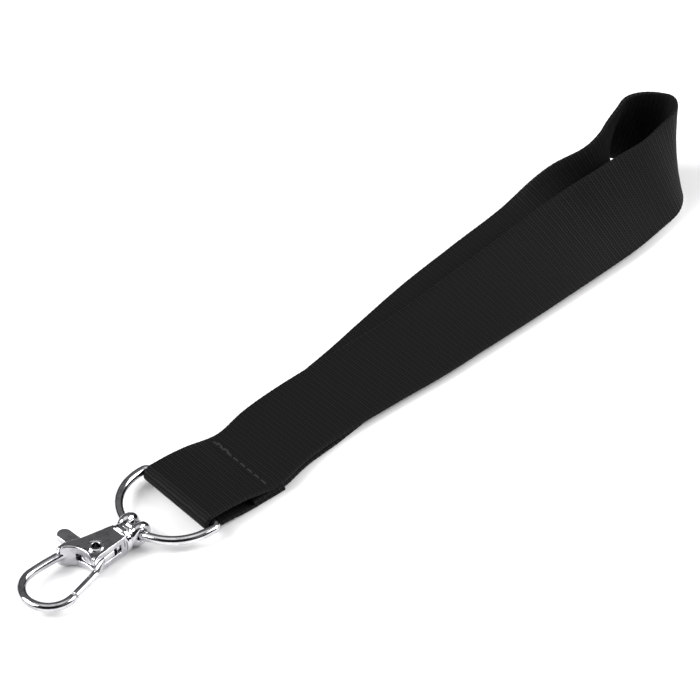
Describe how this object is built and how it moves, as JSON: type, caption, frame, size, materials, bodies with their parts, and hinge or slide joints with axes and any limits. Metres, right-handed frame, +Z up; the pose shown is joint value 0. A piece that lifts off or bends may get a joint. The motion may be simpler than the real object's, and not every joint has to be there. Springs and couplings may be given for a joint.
{
  "type": "lanyard",
  "caption": "Short wrist lanyard: flat webbing loop sewn round a D-ring, with a swivelling lever snap hook.",
  "frame": {"origin": "centre of the lanyard's footprint, on the surface that it lies on", "axes": "+X along the strap towards the open end of the loop, +Y across the strap, +Z up from the surface"},
  "size_m": [0.1839, 0.0274, 0.0212],
  "materials": {
    "webbing": "black ribbed polyester webbing with a slight satin sheen",
    "thread": "black spun polyester sewing thread",
    "plated_wire": "bright nickel plate on steel wire",
    "plated_swivel": "bright nickel plate",
    "plated_casting": "bright nickel plate on a zinc casting",
    "plated_gate": "nickel plate, a little duller",
    "spring_wire": "plain spring steel",
    "plated_rivet": "bright nickel plate"
  },
  "bodies": {
    "strap": {"strap_webbing": "webbing", "needle_thread": "thread", "bobbin_thread": "thread"},
    "d_ring": {"d_ring": "plated_wire"},
    "swivel_eye": {"swivel_eye": "plated_swivel"},
    "hook": {"hook_body": "plated_casting", "pivot_rivet": "plated_rivet", "gate_spring": "spring_wire"},
    "gate": {"gate_lever": "plated_gate"}
  },
  "joints": [
    {"name": "d_ring_swing", "type": "hinge", "parent": "strap", "child": "d_ring", "pos_m": [-0.05303, -0.00073, 0.0028], "axis": [0.0785, 0.9969, 0], "range_deg": [-75, 75]},
    {"name": "eye_tilt", "type": "hinge", "parent": "d_ring", "child": "swivel_eye", "pos_m": [-0.06527, -0.0006, 0.0028], "axis": [0, 1, 0], "range_deg": [-75, 75]},
    {"name": "swivel_spin", "type": "hinge", "parent": "swivel_eye", "child": "hook", "pos_m": [-0.06527, -0.0006, 0.0028], "axis": [1, 0, 0], "continuous": true},
    {"name": "gate_open", "type": "hinge", "parent": "hook", "child": "gate", "pos_m": [-0.07447, -0.0006, 0.0028], "axis": [0, 0, -1], "range_deg": [0, 28], "stiffness_Nm_per_rad": 0.03, "springref_deg": -28.65, "deforming": ["gate_spring"]}
  ]
}
